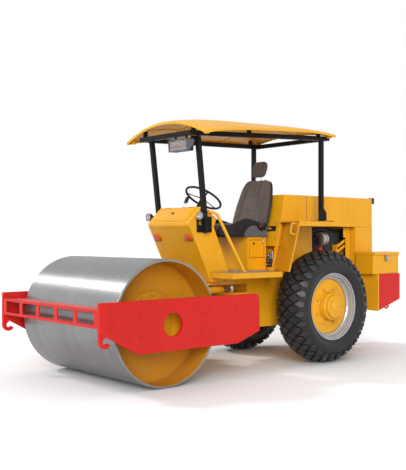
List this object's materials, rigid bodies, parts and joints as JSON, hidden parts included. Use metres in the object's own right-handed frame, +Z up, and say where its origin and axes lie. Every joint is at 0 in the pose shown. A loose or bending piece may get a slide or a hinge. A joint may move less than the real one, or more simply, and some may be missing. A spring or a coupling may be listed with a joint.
{
  "type": "single drum roller",
  "caption": "Articulated soil roller with a smooth steel drum in a front frame, lugged rear tyres, an open operator station under a canopy and an engine hood behind.",
  "frame": {"origin": "on the floor, at the middle of the machine's length and width", "axes": "-Y is the driving direction, +X the machine's left side, +Z up"},
  "size_m": [1.884, 4.615, 2.7282],
  "materials": {
    "yellow_paint": "gloss yellow-orange",
    "red_paint": "gloss red",
    "black_paint": "satin black",
    "silver_paint": "satin silver",
    "drum_steel": "worn bare steel",
    "bare_steel": "bright",
    "cast_dark": "dark cast",
    "tyre_rubber": "worn black rubber",
    "seat_cloth": "woven brown-grey",
    "amber_lens": "amber",
    "lamp_black": "black with clear lens",
    "filter_red": "gloss red"
  },
  "bodies": {
    "rear_unit": {"alternator": "bare_steel", "canopy_rails": "black_paint", "canopy_roof": "yellow_paint", "console": "yellow_paint", "control_levers": "black_paint", "counterweight": "red_paint", "cowl": "yellow_paint", "deck": "yellow_paint", "engine_block": "cast_dark", "fender_left": "yellow_paint", "fender_right": "yellow_paint", "front_post_left": "black_paint", "front_post_right": "black_paint", "handrail_left": "yellow_paint", "handrail_right": "yellow_paint", "head_lamp_left": "lamp_black", "head_lamp_right": "lamp_black", "headrest": "seat_cloth", "indicator_left": "amber_lens", "indicator_right": "amber_lens", "oil_filter": "filter_red", "radiator_housing": "yellow_paint", "rear_axle": "cast_dark", "rear_frame": "yellow_paint", "rear_post_left": "black_paint", "rear_post_right": "black_paint", "roof_lamp": "lamp_black", "seat_back": "seat_cloth", "seat_base": "black_paint", "seat_box": "yellow_paint", "seat_cushion": "seat_cloth", "steering_column": "black_paint", "toolbox": "yellow_paint", "valve_block": "cast_dark"},
    "front_frame": {"side_plate_left": "red_paint", "side_plate_right": "red_paint", "front_bumper": "red_paint", "front_beam": "yellow_paint", "drum_carrier_left": "yellow_paint", "drum_carrier_right": "yellow_paint"},
    "drum": {"drum_shell": "drum_steel", "drum_head_left": "yellow_paint", "drum_head_right": "yellow_paint"},
    "steering_barrel_left": {"steering_barrel_left": "yellow_paint"},
    "steering_barrel_right": {"steering_barrel_right": "yellow_paint"},
    "steering_rod_left": {"steering_rod_left": "bare_steel"},
    "steering_rod_right": {"steering_rod_right": "bare_steel"},
    "wheel_left": {"tyre_left": "tyre_rubber", "rim_left": "silver_paint", "wheel_disc_left": "yellow_paint"},
    "wheel_right": {"tyre_right": "tyre_rubber", "rim_right": "silver_paint", "wheel_disc_right": "yellow_paint"},
    "steering_wheel": {"steering_wheel": "black_paint"},
    "console_lid": {"console_lid": "yellow_paint"},
    "seat_box_door": {"seat_box_door": "yellow_paint"},
    "hood": {"hood": "yellow_paint", "rear_lamp": "lamp_black"},
    "toolbox_lid": {"toolbox_lid": "yellow_paint"}
  },
  "joints": [
    {"name": "articulation", "type": "hinge", "parent": "rear_unit", "child": "front_frame", "pos_m": [0, -0.1725, 0.63], "axis": [0, 0, 1], "range_deg": [-35, 35]},
    {"name": "drum_roll", "type": "hinge", "parent": "front_frame", "child": "drum", "pos_m": [0, -1.4925, 0.6095], "axis": [1, 0, 0], "continuous": true},
    {"name": "wheel_left_roll", "type": "hinge", "parent": "rear_unit", "child": "wheel_left", "pos_m": [0.68, 0.8775, 0.64], "axis": [1, 0, 0], "continuous": true},
    {"name": "wheel_right_roll", "type": "hinge", "parent": "rear_unit", "child": "wheel_right", "pos_m": [-0.68, 0.8775, 0.64], "axis": [1, 0, 0], "continuous": true},
    {"name": "steering_wheel_turn", "type": "hinge", "parent": "rear_unit", "child": "steering_wheel", "pos_m": [0, -0.3575, 1.835], "axis": [0, 0.5446, 0.8387], "continuous": true},
    {"name": "console_lid_hinge", "type": "hinge", "parent": "rear_unit", "child": "console_lid", "pos_m": [0, -0.68889, 1.7437], "axis": [-1, 0, 0], "range_deg": [0, 100]},
    {"name": "seat_box_door_hinge", "type": "hinge", "parent": "rear_unit", "child": "seat_box_door", "pos_m": [0.2735, 0.2225, 1.2002], "axis": [0, 1, 0], "range_deg": [0, 90]},
    {"name": "hood_hinge", "type": "hinge", "parent": "rear_unit", "child": "hood", "pos_m": [0, 0.9475, 1.915], "axis": [1, 0, 0], "range_deg": [0, 50]},
    {"name": "toolbox_lid_hinge", "type": "hinge", "parent": "rear_unit", "child": "toolbox_lid", "pos_m": [0.412, 2.0525, 1.2153], "axis": [0, -1, 0], "range_deg": [0, 85]},
    {"name": "steering_barrel_left_swing", "type": "hinge", "parent": "front_frame", "child": "steering_barrel_left", "pos_m": [0.42, -0.7325, 0.86], "axis": [0, 0, 1], "range_deg": [-7, 7]},
    {"name": "steering_rod_left_stroke", "type": "slide", "parent": "steering_barrel_left", "child": "steering_rod_left", "axis": [-0.2425, 0.9701, 0], "range_m": [-0.16, 0.16]},
    {"name": "steering_barrel_right_swing", "type": "hinge", "parent": "front_frame", "child": "steering_barrel_right", "pos_m": [-0.42, -0.7325, 0.86], "axis": [0, 0, 1], "range_deg": [-7, 7]},
    {"name": "steering_rod_right_stroke", "type": "slide", "parent": "steering_barrel_right", "child": "steering_rod_right", "axis": [0.2425, 0.9701, 0], "range_m": [-0.16, 0.16]}
  ],
  "couplings": [
    {"joint": "steering_barrel_left_swing", "follows": "articulation", "ratio": -0.153},
    {"joint": "steering_rod_left_stroke", "follows": "articulation", "m_per_rad": -0.248},
    {"joint": "steering_barrel_right_swing", "follows": "articulation", "ratio": -0.153},
    {"joint": "steering_rod_right_stroke", "follows": "articulation", "m_per_rad": 0.248}
  ]
}
